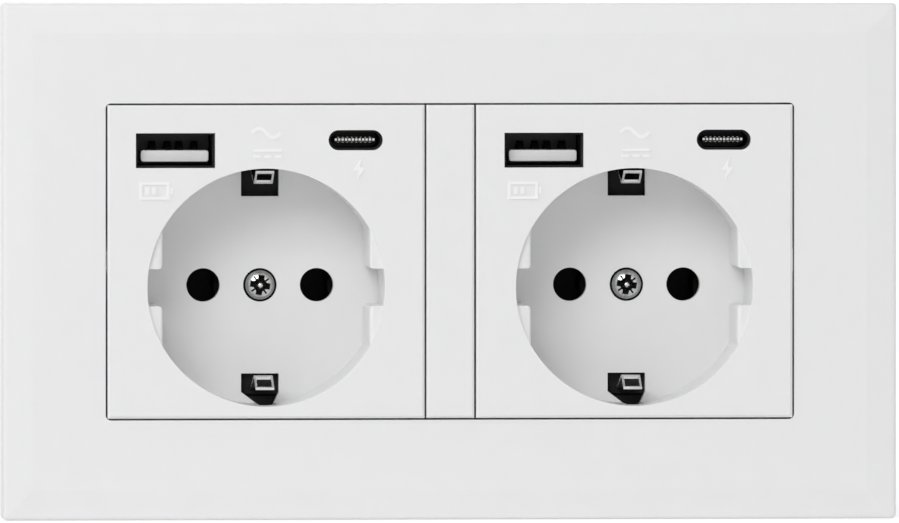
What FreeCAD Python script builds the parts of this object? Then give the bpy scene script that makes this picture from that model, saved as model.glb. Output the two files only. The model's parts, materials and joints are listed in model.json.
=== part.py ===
import FreeCAD, Part
import functools
import math
import os
import re
import Sketcher

# A double socket outlet with USB supply, millimetres. X runs right, Z up, and the face looks along -Y.
# The wall plane is y = 0, and the origin lies on it at the middle of the frame.

SIZES = {
    # decorative frame, which clips over everything
    "frame_side": 17.1,
    "frame_head": 16.65,
    "frame_front": 8.5,
    "frame_wall": 2.0,
    "frame_corner": 0.9,
    "frame_slope_run": 5.0,
    "frame_slope_drop": 0.5,
    "frame_edge": 0.8,
    "frame_rib": 1.2,
    "hook_width": 6.0,
    "hook_thick": 1.4,
    "hook_clear": 4.45,
    "hook_side": 7.4,
    "hook_nib": 0.7,
    # face pieces in the frame's opening
    "joint_gap": 0.3,
    "face_side": 5.1,
    "face_foot": 0.45,
    "module_front": 8.9,
    "face_edge": 0.4,
    "strip_width": 8.0,
    "strip_hook_side": 8.05,
    "strip_hook_width": 4.0,
    "plate_face": 2.2,
    "skirt_wall": 1.5,
    "skirt_lift": 0.3,
    "relief_half": 5.0,
    "relief_height": 3.7,
    # plug recess
    "recess_radius": 19.8,
    "recess_depth": 17.5,
    "recess_drop": 4.3,
    "cup_wall": 1.5,
    "cup_floor": 2.0,
    "key_height": 2.6,
    "key_notch": 6.2,
    "key_setback": 0.8,
    "key_round": 0.75,
    "pin_spacing": 19.0,
    "pin_hole": 5.6,
    "slot_width": 6.3,
    "slot_reach": 5.0,
    "slot_foot_reach": 0.5,
    "web_wide": 3.2,
    "web_narrow": 1.1,
    "web_tall": 2.4,
    # general clearances
    "seat_gap": 0.1,
    "slide_gap": 0.3,
    "thread_gap": 0.05,
    # steel support plate
    "support_side_gap": 3.5,
    "support_head_gap": 3.0,
    "support_thick": 1.2,
    "support_corner": 2.0,
    "support_rim": 3.0,
    "support_play": 0.5,
    "fixing_margin": 2.9,
    "fixing_bore": 4.4,
    "fixing_travel": 3.0,
    "latch_width": 4.0,
    "latch_thick": 0.8,
    "latch_nib": 0.4,
    "latch_upper": 4.0,
    "latch_foot": 5.1,
    # moulded body behind the plate
    "case_inset": 1.2,
    "case_head": 1.05,
    "case_wall": 1.6,
    "case_bevel": 1.0,
    "base_floor": 3.3,
    "case_depth": 19.2,
    "case_rear": 1.8,
    "catch_back": 6.0,
    "catch_width": 6.0,
    "catch_nub": 0.9,
    "catch_reach": 6.0,
    "catch_thick": 1.2,
    "cell_wall": 1.0,
    "cell_height": 3.0,
    # centre screw
    "screw_shank": 3.5,
    "screw_head": 5.0,
    "screw_head_height": 2.0,
    "screw_sink": 0.8,
    "screw_length": 6.4,
    # earth strap and its two spring fingers
    "strap_thick": 1.2,
    "strap_lift": 1.1,
    "strap_half": 3.0,
    "strap_end_inset": 0.4,
    "leg_thick": 1.1,
    "spring_width": 3.1,
    "spring_thick": 0.6,
    "spring_root_inset": 1.6,
    "spring_crest_inset": 3.65,
    "spring_tip_inset": 1.85,
    "spring_crest_depth": 8.4,
    "spring_tip_depth": 3.7,
    "spring_stub": 1.1,
    "spring_bend": 1.2,
    "spring_leg": 0.45,
    "spring_slot_play": 0.125,
    # pin contacts
    "contact_thick": 0.8,
    "contact_gap": 0.9,
    "contact_length": 11.2,
    "clip_half": 2.7,
    "clip_pinch": 2.15,
    "clip_top": 2.8,
    "clip_lip": 3.8,
    "tab_half": 1.5,
    # terminals
    "terminal_pitch": 11.0,
    "terminal_margin": 9.4,
    "terminal_gap": 0.8,
    "terminal_tall": 4.0,
    "clamp_lip": 0.1,
    "clamp_tall": 3.6,
    "clamp_thick": 1.2,
    "clamp_rest": 0.3,
    "terminal_screw": 3.5,
    "terminal_head": 6.6,
    "terminal_head_height": 2.2,
    "terminal_reach": 6.0,
    "driver_gap": 0.4,
    "partition_thick": 1.2,
    "partition_rise": 6.5,
    "wire_hole": 3.0,
    "wire_offset": 2.6,
    # type A receptacle
    "usb_lead": 1.2,
    "usb_play": 0.05,
    "usb_length": 13.7,
    "shell_thick": 0.3,
    "usb_a_margin": 11.3,
    "usb_a_drop": 7.55,
    "usb_a_width": 13.1,
    "usb_a_height": 5.7,
    "usb_a_tongue_width": 11.4,
    "usb_a_tongue_thick": 1.9,
    "usb_a_pitch": 2.5,
    "usb_a_contact": 1.1,
    "usb_a_rise": 1.2,
    "usb_block": 4.5,
    # type C receptacle
    "usb_c_margin": 11.5,
    "usb_c_drop": 5.85,
    "usb_c_width": 8.94,
    "usb_c_height": 3.26,
    "usb_c_tongue_width": 6.6,
    "usb_c_tongue_thick": 0.7,
    "usb_c_pitch": 0.75,
    "usb_c_contact": 0.28,
    "contact_film": 0.1,
    "tongue_setback": 1.6,
    # supply electronics
    "board_thick": 1.6,
    "board_play": 0.3,
    "board_clear": 0.6,
    "board_step": 0.7,
    "power_level": 9.5,
    "power_front_gap": 0.6,
    "power_rear_gap": 0.4,
    "groove_rib": 1.4,
    "link_pitch": 1.4,
    "link_pin": 0.64,
    "link_margin": 6.6,
    "core_width": 13.0,
    "core_deep": 6.0,
    "core_tall": 10.4,
    "coil_width": 9.0,
    "coil_deep": 9.6,
    "coil_tall": 7.0,
    "can_radius": 3.3,
    "can_tall": 10.8,
    "can_gap": 0.1,
    "can_back": 4.0,
}

# Sizes that follow from the others
FOLLOWS = {
    "module_width": "2 * (recess_radius + cup_wall + face_side)",
    "module_height": "2 * (recess_drop + recess_radius + cup_wall + face_foot)",
    "opening_half": "module_width + strip_width / 2 + 2 * joint_gap",
    "opening_tall": "module_height / 2 + joint_gap",
    "frame_width": "2 * (opening_half + frame_side)",
    "frame_height": "2 * (opening_tall + frame_head)",
    "hook_offset": "opening_tall + hook_clear",
    "hook_spread": "opening_half - hook_side",
    "strip_hook_offset": "module_height / 2 - strip_hook_side",
    "support_width": "frame_width - 2 * (frame_wall + support_side_gap)",
    "support_height": "frame_height - 2 * (frame_wall + support_head_gap)",
    "fixing_spacing": "2 * (opening_half + fixing_margin)",
    "latch_lower": "recess_drop + recess_radius + cup_wall - latch_foot",
    "key_flat": "recess_radius - key_height",
    "slot_inner": "recess_radius - slot_reach",
    "slot_outer": "recess_radius + cup_wall + seat_gap",
    "slot_foot": "recess_radius + slot_foot_reach",
    "spring_root": "recess_radius - spring_root_inset",
    "spring_crest": "recess_radius - spring_crest_inset",
    "spring_tip": "recess_radius - spring_tip_inset",
    "spring_middle": "strap_lift - recess_drop",
    "strap_reach": "recess_radius - strap_end_inset",
    "usb_a_place": "module_width / 2 - usb_a_margin",
    "usb_a_level": "module_height / 2 - usb_a_drop",
    "usb_c_place": "module_width / 2 - usb_c_margin",
    "usb_c_level": "module_height / 2 - usb_c_drop",
    "case_width": "module_width - 2 * case_inset",
    "case_top": "module_height / 2 - case_head",
    "case_low": "recess_drop + recess_radius + cup_wall + 2 * seat_gap + case_wall",
    "terminal_drop": "case_low - terminal_margin",
    "terminal_half": "(terminal_pitch - partition_thick) / 2 - terminal_gap",
    "clamp_half": "terminal_half + clamp_lip",
    "driver_hole": "terminal_head + 2 * driver_gap",
    "partition_top": "terminal_drop - partition_rise",
    "base_rear": "recess_depth - module_front + cup_floor + seat_gap + base_floor",
    "catch_place": "base_rear - catch_back",
    "power_front": "base_rear + power_front_gap",
    "power_rear": "base_rear + case_depth - case_rear - power_rear_gap",
    "board_low": "power_level + board_step",
    "link_place": "case_width / 2 - case_wall - link_margin",
    "can_place": "pin_spacing / 2 + tab_half + can_radius + can_gap",
    "can_rear": "power_rear - can_back",
}

NEAR = 1e-4
SIDES = ("-1", "1")
THREE = ("-1", "0", "1")
SENSE = {"x": ("YZ_Plane", 1), "y": ("XZ_Plane", -1), "z": ("XY_Plane", 1)}
USB_C_CONTACTS = 8
LINK_PINS = 4
SHANK_SIDES = 8
HEAD_SIDES = 16

# Places along and across the device
PITCH = "(module_width + strip_width + 2 * joint_gap)"
OPENING_HALF_WIDTH = "opening_half"
OPENING_HALF_HEIGHT = "opening_tall"
FACE = "(-module_front)"
FACE_REAR = "(plate_face - module_front)"
SKIRT_FOOT = "(-support_thick - skirt_lift)"
FLOOR = "(recess_depth - module_front)"
CUP_REAR = f"({FLOOR} + cup_floor)"
CUP_RADIUS = "(recess_radius + cup_wall)"
BASE_FLOOR = f"({CUP_REAR} + seat_gap)"
STRAP_FRONT = BASE_FLOOR
STRAP_REAR = f"({STRAP_FRONT} + strap_thick)"
BASE_REAR = "base_rear"
CASE_REAR = f"({BASE_REAR} + case_depth)"
CASE_INNER = f"({CASE_REAR} - case_rear)"
CASE_BOTTOM = "(-case_low)"
INNER_HALF = "(case_width / 2 - case_wall)"
LATCH_LEVELS = ("latch_upper", "-latch_lower")
CONTACT_FRONT = f"({BASE_REAR} + contact_gap)"
CONTACT_REAR = f"({CONTACT_FRONT} + contact_length)"
PLATE_FRONT = f"({CONTACT_REAR} - contact_thick)"
CLAMP_FRONT = f"({CONTACT_REAR} + clamp_rest)"
CLAMP_REAR = f"({CLAMP_FRONT} + clamp_thick)"
USB_FRONT = f"({FACE} + usb_lead)"
USB_REAR = f"({USB_FRONT} + usb_length)"
BOARD_FRONT = USB_REAR
BOARD_REAR = f"({BOARD_FRONT} + board_thick)"
POWER_TOP = "(power_level + board_thick)"
BLOCK_FRONT = f"({USB_REAR} - usb_block)"

doc = FreeCAD.newDocument("usb_wall_socket")
sheet = doc.addObject("Spreadsheet::Sheet", "Sizes")
for row, (name, size) in enumerate(SIZES.items(), start=1):
    sheet.set(f"A{row}", name)
    sheet.set(f"B{row}", str(size))
    sheet.setAlias(f"B{row}", name)
doc.recompute()


def bound(text):
    """The expression with its size names turned into references to the sheet."""
    return re.sub(r"\b[a-z]+(?:_[a-z]+)+\b", reference, text)


def reference(found):
    """A size name as the sheet knows it, or what it follows from in brackets."""
    name = found.group(0)
    return f"({bound(FOLLOWS[name])})" if name in FOLLOWS else f"Sizes.{name}"


@functools.cache
def value(text):
    """What the expression comes to."""
    return float(sheet.evalExpression(bound(text)))


def rectangle(left, right, low, high):
    return [(left, low), (right, low), (right, high), (left, high)]


def around(across, up, half_width, half_height):
    """A rectangle given by its middle and its half sizes."""
    return rectangle(f"{across} - ({half_width})", f"{across} + ({half_width})",
                     f"{up} - ({half_height})", f"{up} + ({half_height})")


def circle(across, up, radius):
    return (across, up, radius)


def slot(across, up, travel, radius):
    """A slot with round ends, whose centres lie the travel apart."""
    return (across, up, travel, radius)


def many_sided(radius, sides):
    """A regular outline about the middle, inside the given radius."""
    turns = [2 * math.pi * (i + 0.5) / sides for i in range(sides)]
    return [(f"{radius} * {math.cos(turn):.6f}", f"{radius} * {math.sin(turn):.6f}") for turn in turns]


def hold(sketch, constraints):
    """Add the constraints, and drive each one that comes with an expression."""
    numbers = sketch.addConstraint([constraint for constraint, text in constraints])
    for number, (constraint, text) in zip(numbers, constraints):
        if text:
            sketch.setExpression(f"Constraints[{number}]", bound(text))


def at_point(edge, point, across, up):
    """The two constraints that put a point of an edge at a pair of expressions."""
    return [(Sketcher.Constraint("DistanceX", -1, 1, edge, point, value(across)), across),
            (Sketcher.Constraint("DistanceY", -1, 1, edge, point, value(up)), up)]


def draw_polygon(sketch, corners):
    spots = [FreeCAD.Vector(value(across), value(up), 0) for across, up in corners]
    first, count = sketch.GeometryCount, len(corners)
    sketch.addGeometry([Part.LineSegment(spots[i], spots[(i + 1) % count]) for i in range(count)], False)
    constraints = []
    for i, corner in enumerate(corners):
        meeting = Sketcher.Constraint("Coincident", first + i, 2, first + (i + 1) % count, 1)
        constraints.append((meeting, None))
        constraints += at_point(first + i, 1, *corner)
    hold(sketch, constraints)


def draw_circle(sketch, across, up, radius):
    middle = FreeCAD.Vector(value(across), value(up), 0)
    edge = sketch.addGeometry(Part.Circle(middle, FreeCAD.Vector(0, 0, 1), value(radius)), False)
    size = Sketcher.Constraint("Radius", edge, value(radius))
    hold(sketch, at_point(edge, 3, across, up) + [(size, radius)])


def draw_slot(sketch, across, up, travel, radius):
    x, z, half, round_end = value(across), value(up), value(travel) / 2, value(radius)
    up_left, low_left = [FreeCAD.Vector(x - half, end, 0) for end in (z + round_end, z - round_end)]
    up_right, low_right = [FreeCAD.Vector(x + half, end, 0) for end in (z + round_end, z - round_end)]
    left = Part.Circle(FreeCAD.Vector(x - half, z, 0), FreeCAD.Vector(0, 0, 1), round_end)
    right = Part.Circle(FreeCAD.Vector(x + half, z, 0), FreeCAD.Vector(0, 0, 1), round_end)
    first = sketch.GeometryCount
    sketch.addGeometry([
        Part.LineSegment(low_left, low_right),
        Part.ArcOfCircle(right, -math.pi / 2, math.pi / 2),
        Part.LineSegment(up_right, up_left),
        Part.ArcOfCircle(left, math.pi / 2, 3 * math.pi / 2),
    ], False)
    constraints = [(Sketcher.Constraint("Tangent", first + i, 2, first + (i + 1) % 4, 1), None)
                   for i in range(4)]
    for arc, side in ((first + 1, "+"), (first + 3, "-")):
        constraints += at_point(arc, 3, f"{across} {side} {travel} / 2", up)
        constraints.append((Sketcher.Constraint("Radius", arc, round_end), radius))
    hold(sketch, constraints)


def sketch_in(body, axis, level, outlines):
    """A sketch across the axis at the level, holding the outlines."""
    role, sense = SENSE[axis]
    sketch = body.newObject("Sketcher::SketchObject", f"{body.Name}_outline")
    plane = next(part for part in body.Origin.OriginFeatures if part.Role == role)
    sketch.AttachmentSupport = [(plane, "")]
    sketch.MapMode = "FlatFace"
    sketch.setExpression("AttachmentOffset.Base.z", bound(f"{sense} * ({level})"))
    for outline in outlines:
        if isinstance(outline, list):
            draw_polygon(sketch, outline)
        elif len(outline) == 4:
            draw_slot(sketch, *outline)
        else:
            draw_circle(sketch, *outline)
    return sketch


def new_body(label, across="0"):
    """An empty body; its own frame is the device's, moved sideways to its module."""
    body = doc.addObject("PartDesign::Body", label)
    body.Label = label
    body.setExpression("Placement.Base.x", bound(across))
    return body


def add(body, axis, start, end, *outlines):
    """Material from start to end along the axis, with the given outlines."""
    level = start if SENSE[axis][1] > 0 else end
    pad = body.newObject("PartDesign::Pad", f"{body.Name}_pad")
    pad.Profile = sketch_in(body, axis, level, outlines)
    pad.setExpression("Length", bound(f"({end}) - ({start})"))
    body.Tip = pad
    return pad


def cut(body, axis, start, end, *outlines):
    """Material taken away from start to end along the axis."""
    level = end if SENSE[axis][1] > 0 else start
    pocket = body.newObject("PartDesign::Pocket", f"{body.Name}_pocket")
    pocket.Profile = sketch_in(body, axis, level, outlines)
    pocket.setExpression("Length", bound(f"({end}) - ({start})"))
    body.Tip = pocket
    return pocket


def runs(edge, axis):
    """True for a straight edge along the axis."""
    if not isinstance(edge.Curve, Part.Line):
        return False
    return abs(getattr(edge.Curve.Direction, axis)) > 1 - NEAR


def lies(edge, **levels):
    """True where the whole edge keeps to the given coordinates."""
    middle = (edge.FirstParameter + edge.LastParameter) / 2
    points = [edge.valueAt(place) for place in (edge.FirstParameter, middle, edge.LastParameter)]
    return all(
        abs(getattr(point, axis) - value(level)) < NEAR for axis, level in levels.items() for point in points
    )


def inside(edge, across, up, half_width, half_height):
    """True where the edge's middle lies within a window of the front view."""
    middle = edge.CenterOfMass
    return (abs(middle.x - value(across)) < value(half_width) + NEAR
            and abs(middle.z - value(up)) < value(half_height) + NEAR)


def dressed(body, kind, size_name, size, chosen):
    """Work the chosen edges of the body's last feature."""
    doc.recompute()
    before = body.Tip
    names = [f"Edge{i}" for i, edge in enumerate(before.Shape.Edges, start=1) if chosen(edge)]
    feature = body.newObject(f"PartDesign::{kind}", f"{body.Name}_{kind.lower()}")
    feature.Base = (before, names)
    feature.setExpression(size_name, bound(size))
    body.Tip = feature
    return feature


def rounded(body, radius, chosen):
    return dressed(body, "Fillet", "Radius", radius, chosen)


def bevelled(body, size, chosen):
    return dressed(body, "Chamfer", "Size", size, chosen)


def hook(body, across, level, half, out, foot, nib):
    """A snap tongue from the front wall through the support plate, with its nib turned outwards."""
    rear = "support_thick + frame_rib"
    sides = [f"{level}", f"{level} + {out} * hook_thick"]
    add(body, "x", f"{across} - {half}", f"{across} + {half}", [
        (foot, sides[0]),
        (rear, sides[0]),
        (rear, sides[1]),
        ("seat_gap", f"{sides[1]} + {out} * {nib}"),
        ("seat_gap", sides[1]),
        (foot, sides[1]),
    ])


def decorative_frame():
    body = new_body("decorative_frame")
    half_width, half_height = "frame_width / 2", "frame_height / 2"
    add(body, "y", "-frame_front", "0", around("0", "0", half_width, half_height))
    front_slope(body)
    rounded(body, "frame_edge",
            lambda edge: runs(edge, "y") or lies(edge, y="frame_slope_drop - frame_front"))
    rear = "frame_wall - frame_front"
    cut(body, "y", rear, "0",
        around("0", "0", f"({half_width} - frame_wall)", f"({half_height} - frame_wall)"))
    skirt_width = f"({OPENING_HALF_WIDTH} + skirt_wall)"
    skirt_height = f"({OPENING_HALF_HEIGHT} + skirt_wall)"
    add(body, "y", rear, SKIRT_FOOT, around("0", "0", skirt_width, skirt_height))
    rib_foot = f"{SKIRT_FOOT} - support_rim - slide_gap"
    add(body, "y", rear, rib_foot,
        *[around(f"{place} * hook_spread / 2", f"{side} * ({skirt_height} + {half_height} - frame_wall) / 2",
                 "frame_rib / 2", f"({half_height} - frame_wall - {skirt_height}) / 2")
          for side in SIDES for place in ("-1", "1")])
    cut(body, "y", "-frame_front", SKIRT_FOOT, around("0", "0", OPENING_HALF_WIDTH, OPENING_HALF_HEIGHT))
    rounded(body, "frame_corner", lambda edge: runs(edge, "y") and inside(
        edge, "0", "0", OPENING_HALF_WIDTH, OPENING_HALF_HEIGHT))
    cut(body, "y", f"{SKIRT_FOOT} - relief_height", SKIRT_FOOT,
        *[around(f"{side} * ({OPENING_HALF_WIDTH} + skirt_wall / 2)", "0", "skirt_wall", "relief_half")
          for side in SIDES])
    for out in SIDES:
        for place in THREE:
            hook(body, f"{place} * hook_spread", f"{out} * hook_offset", "hook_width / 2", out,
                 rear, "hook_nib")
    return body


def front_slope(body):
    """A long shallow slope that takes the frame's front down towards its outer edges."""
    slope = bevelled(body, "frame_slope_run", lambda edge: lies(edge, y="-frame_front"))
    slope.ChamferType = "Two distances"
    slope.setExpression("Size2", bound("frame_slope_drop"))
    slope.FlipDirection = True


def centre_strip():
    body = new_body("centre_strip")
    half, tall = "strip_width / 2", "module_height / 2"
    add(body, "y", FACE, SKIRT_FOOT, around("0", "0", half, tall))
    bevelled(body, "face_edge", lambda edge: lies(edge, y=FACE))
    cut(body, "y", FACE_REAR, SKIRT_FOOT,
        around("0", "0", f"({half} - skirt_wall)", f"({tall} - skirt_wall)"))
    for out in SIDES:
        hook(body, "0", f"{out} * strip_hook_offset", "strip_hook_width / 2", out, FACE_REAR, "hook_nib")
    return body


def support_plate():
    """The pressed steel plate: two windows, fixing slots, hook slots and a rim turned forward."""
    body = new_body("support_plate")
    half_width, half_height = "support_width / 2", "support_height / 2"
    front = "-support_thick"
    add(body, "y", front, "0", around("0", "0", half_width, half_height))
    bevelled(body, "support_corner", lambda edge: runs(edge, "y"))
    rim_half = f"({half_width} - support_corner)"
    add(body, "y", f"{front} - support_rim", front,
        *[around("0", f"{side} * ({half_height} - support_thick / 2)", rim_half, "support_thick / 2")
          for side in SIDES])
    middles = [f"{side} * {PITCH} / 2" for side in SIDES]
    window_half = f"({CUP_RADIUS} + support_play)"
    cut(body, "y", front, "0",
        *[rectangle(f"{middle} - {window_half}", f"{middle} + {window_half}",
                    f"-recess_drop - {window_half}", "usb_a_level + usb_a_height / 2 + 2 * support_play")
          for middle in middles],
        *[slot(f"{side} * fixing_spacing / 2", "0", "fixing_travel", "fixing_bore / 2") for side in SIDES],
        *[latch_slot(middle, side, level) for middle in middles for side in SIDES for level in LATCH_LEVELS],
        *[hook_slot(f"{place} * hook_spread", out, "hook_offset", "hook_width / 2")
          for place in THREE for out in SIDES],
        *[hook_slot("0", out, "strip_hook_offset", "strip_hook_width / 2") for out in SIDES])
    return body


def hook_slot(middle, out, offset, half):
    """The opening in the plate for a snap tongue and its nib."""
    near, far = f"({offset} - slide_gap)", f"({offset} + hook_thick + hook_nib + slide_gap)"
    return rectangle(f"{middle} - {half} - slide_gap", f"{middle} + {half} + slide_gap",
                     f"{out} * {near}", f"{out} * {far}")


def latch_slot(middle, side, level):
    """The opening in the plate for a base's latch and its nib."""
    return rectangle(f"{middle} + {side} * ({INNER_HALF} - seat_gap)",
                     f"{middle} + {side} * ({INNER_HALF} + latch_thick + latch_nib + slide_gap)",
                     f"{level} - latch_width / 2 - slide_gap", f"{level} + latch_width / 2 + slide_gap")


def cover_plate(label, across):
    """The face plate and the plug recess, one moulding."""
    body = new_body(label, across)
    half, tall = "module_width / 2", "module_height / 2"
    add(body, "y", FACE, SKIRT_FOOT, around("0", "0", half, tall))
    bevelled(body, "face_edge", lambda edge: lies(edge, y=FACE))
    cut(body, "y", FACE_REAR, SKIRT_FOOT,
        around("0", "0", f"({half} - skirt_wall)", f"({tall} - skirt_wall)"))
    add(body, "y", FACE_REAR, CUP_REAR, circle("0", "-recess_drop", CUP_RADIUS))
    cut(body, "y", FACE, FLOOR, circle("0", "-recess_drop", "recess_radius"))
    usb_windows(body)
    key_guides(body)
    recess_floor(body)
    cut(body, "y", f"{SKIRT_FOOT} - relief_height", SKIRT_FOOT,
        *[around(f"{side} * ({half} - skirt_wall / 2)", "0", "skirt_wall", "relief_half") for side in SIDES])
    return body


def key_guides(body):
    """The four blocks that make the recess fit a plug's flat sides, with a notch between each pair."""
    low, high = "(key_notch / 2)", "(sqrt(recess_radius ^ 2 - key_flat ^ 2))"
    seat = "(recess_radius + cup_wall / 2)"
    front = f"({FACE} + key_setback)"
    blocks = []
    for side in SIDES:
        for out in SIDES:
            blocks.append([
                (f"{side} * key_flat", f"{out} * {low} - recess_drop"),
                (f"{side} * sqrt({seat} ^ 2 - {low} ^ 2)", f"{out} * {low} - recess_drop"),
                (f"{side} * sqrt({seat} ^ 2 - {high} ^ 2)", f"{out} * {high} - recess_drop"),
                (f"{side} * key_flat", f"{out} * {high} - recess_drop"),
            ])
    add(body, "y", front, f"{FLOOR} + cup_floor / 2", *blocks)
    rounded(body, "key_round", lambda edge: (
        (runs(edge, "y") or lies(edge, y=front)) and abs(edge.Vertexes[0].X) > value("key_flat") - NEAR
        and (lies(edge, x="key_flat") or lies(edge, x="-key_flat"))
        and inside(edge, "0", "-recess_drop", "recess_radius", f"{high} - key_round")))


def recess_floor(body):
    """Pin holes, earth slots and the centre screw's seat; the lower slot keeps a web in each foot corner."""
    half = "slot_width / 2"
    cut(body, "y", FACE_REAR, CUP_REAR,
        rectangle(f"-{half}", half, "slot_inner - recess_drop", "slot_outer - recess_drop"))
    cut(body, "y", SKIRT_FOOT, CUP_REAR, [
        (f"-{half}", "-slot_inner - recess_drop"),
        (half, "-slot_inner - recess_drop"),
        (half, "web_tall - slot_foot - recess_drop"),
        (f"{half} - web_narrow", "-slot_foot - recess_drop"),
        (f"web_wide - {half}", "-slot_foot - recess_drop"),
        (f"-{half}", "web_tall - slot_foot - recess_drop"),
    ])
    cut(body, "y", FLOOR, CUP_REAR,
        *[circle(f"{side} * pin_spacing / 2", "-recess_drop", "pin_hole / 2") for side in SIDES],
        around("0", "-recess_drop", "(screw_shank / 2 + slide_gap)", "(screw_shank / 2 + slide_gap)"))
    cut(body, "y", FLOOR, f"{FLOOR} + screw_sink",
        circle("0", "-recess_drop", "screw_head / 2 + slide_gap"))


def usb_windows(body):
    cut(body, "y", FACE, FACE_REAR,
        around("-usb_a_place", "usb_a_level",
               "(usb_a_width / 2 + usb_play)", "(usb_a_height / 2 + usb_play)"),
        slot("usb_c_place", "usb_c_level", "(usb_c_width - usb_c_height)", "(usb_c_height / 2 + usb_play)"))


def centre_screw(label, across):
    body = new_body(label, across)
    body.setExpression("Placement.Base.z", bound("-recess_drop"))
    seat = f"({FLOOR} + screw_sink)"
    add(body, "y", f"{seat} - screw_head_height", seat, circle("0", "0", "screw_head / 2"))
    add(body, "y", seat, f"{seat} + screw_length", many_sided("screw_shank / 2", SHANK_SIDES))
    return body


def earth_strap(label, across):
    """One folded strip: the bar behind the recess, the leg beside it and the earth terminal plate."""
    body = new_body(label, across)
    add(body, "y", STRAP_FRONT, STRAP_REAR, around("0", "spring_middle", "strap_half", "strap_reach"))
    cut(body, "y", STRAP_FRONT, STRAP_REAR,
        *[around("0", f"{out} * spring_root + spring_middle", "spring_width / 2 + seat_gap",
                 "spring_thick / 2 + spring_slot_play") for out in SIDES],
        around("0", "-recess_drop", "(screw_shank / 2 + thread_gap)", "(screw_shank / 2 + thread_gap)"))
    low, high = "-terminal_drop - terminal_tall", "-terminal_drop + terminal_tall"
    add(body, "y", STRAP_FRONT, CONTACT_REAR, rectangle("strap_half", "strap_half + leg_thick", low, high))
    add(body, "y", PLATE_FRONT, CONTACT_REAR, rectangle("-terminal_half", "terminal_half", low, high))
    cut(body, "y", PLATE_FRONT, CONTACT_REAR,
        circle("0", "-terminal_drop", "terminal_screw / 2 + thread_gap"))
    return body


def earth_spring(label, across, out):
    """A spring finger: its foot stands in the strap, its crest meets the plug, its tip leads the plug in."""
    body = new_body(label, across)
    crest, tip = f"({FACE} + spring_crest_depth)", f"({FACE} + spring_tip_depth)"
    line = [(f"{STRAP_REAR} + spring_stub", "spring_root"), (FLOOR, "spring_root"),
            (crest, "spring_crest"), (tip, "spring_tip")]
    inner = [(along, f"{out} * ({reach} - spring_thick / 2) + spring_middle") for along, reach in line]
    outer = [(along, f"{out} * ({reach} + spring_thick / 2) + spring_middle") for along, reach in line]
    add(body, "x", "-spring_width / 2", "spring_width / 2", inner + outer[::-1])
    rounded(body, "spring_bend", lambda edge: runs(edge, "x") and lies(edge, y=crest))
    span = "(spring_tip + 2 * spring_thick)"
    cut(body, "z", f"spring_middle - {span}", f"spring_middle + {span}",
        rectangle("-spring_width / 2 + spring_leg", "spring_width / 2 - spring_leg",
                  f"{tip} + spring_leg", f"{crest} - spring_bend"))
    return body


def pin_contact(label, across, side):
    """A strip folded into a clip round the pin, a terminal plate below and a solder tab above."""
    body = new_body(label, across)
    place, level = f"{side} * pin_spacing / 2", "-recess_drop"
    inner = [("clip_half", "-clip_lip"), ("clip_pinch", "0"), ("clip_half", "clip_top")]
    outer = [("clip_half + contact_thick", "-clip_lip"), ("clip_pinch + contact_thick", "0"),
             ("clip_half + contact_thick", "clip_top + contact_thick")]
    loop = [(f"{place} + ({x})", f"{level} + ({z})") for x, z in inner]
    loop += [(f"{place} - ({x})", f"{level} + ({z})") for x, z in inner[::-1]]
    loop += [(f"{place} - ({x})", f"{level} + ({z})") for x, z in outer]
    loop += [(f"{place} + ({x})", f"{level} + ({z})") for x, z in outer[::-1]]
    add(body, "y", CONTACT_FRONT, CONTACT_REAR, loop)
    near = f"{side} * (pin_spacing / 2 + clip_pinch + contact_thick / 2)"
    outer_edge = f"{side} * (terminal_pitch + terminal_half)"
    inner_edge = f"{side} * (terminal_pitch - terminal_half)"
    add(body, "y", PLATE_FRONT, CONTACT_REAR, [
        (near, f"{level} + clip_top"),
        (outer_edge, f"{level} + clip_top"),
        (outer_edge, "-terminal_drop - terminal_tall"),
        (inner_edge, "-terminal_drop - terminal_tall"),
        (inner_edge, "-terminal_drop + terminal_tall"),
        (near, f"{level} - clip_lip - contact_thick"),
    ])
    add(body, "y", PLATE_FRONT, CONTACT_REAR,
        rectangle(f"{place} - tab_half", f"{place} + tab_half",
                  f"{level} + clip_top", f"{POWER_TOP} + contact_thick"))
    cut(body, "y", PLATE_FRONT, CONTACT_REAR,
        circle(f"{side} * terminal_pitch", "-terminal_drop", "terminal_screw / 2 + thread_gap"))
    return body


def terminal_clamp(label, across, side):
    """The plate that the screw presses on the wire, with a square hole for the screw."""
    body = new_body(label, across)
    middle, hole_half = f"{side} * terminal_pitch", "(terminal_screw / 2 + seat_gap)"
    add(body, "y", CLAMP_FRONT, CLAMP_REAR,
        around(middle, "-terminal_drop", "clamp_half", "clamp_tall"))
    cut(body, "y", CLAMP_FRONT, CLAMP_REAR, around(middle, "-terminal_drop", hole_half, hole_half))
    return body


def terminal_screw(label, across, side):
    body = new_body(label, f"{across} + {side} * terminal_pitch")
    body.setExpression("Placement.Base.z", bound("-terminal_drop"))
    seat = f"({CLAMP_REAR} + thread_gap)"
    add(body, "y", f"{seat} - terminal_reach", seat, many_sided("terminal_screw / 2", SHANK_SIDES))
    add(body, "y", seat, f"{seat} + terminal_head_height", many_sided("terminal_head / 2", HEAD_SIDES))
    return body


def base(label, across):
    """The moulded tray behind the support plate, open to the front round the recess."""
    body = new_body(label, across)
    half = "(case_width / 2)"
    add(body, "y", "0", BASE_REAR, rectangle(f"-{half}", half, CASE_BOTTOM, "case_top"))
    bevelled(body, "case_bevel", lambda edge: runs(edge, "y"))
    cut(body, "y", "0", BASE_FLOOR,
        rectangle(f"-{INNER_HALF}", INNER_HALF, f"{CASE_BOTTOM} + case_wall", "case_top - case_wall"))
    base_latches(body)
    base_catches(body)
    base_seats(body)
    contact_cells(body)
    return body


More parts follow.
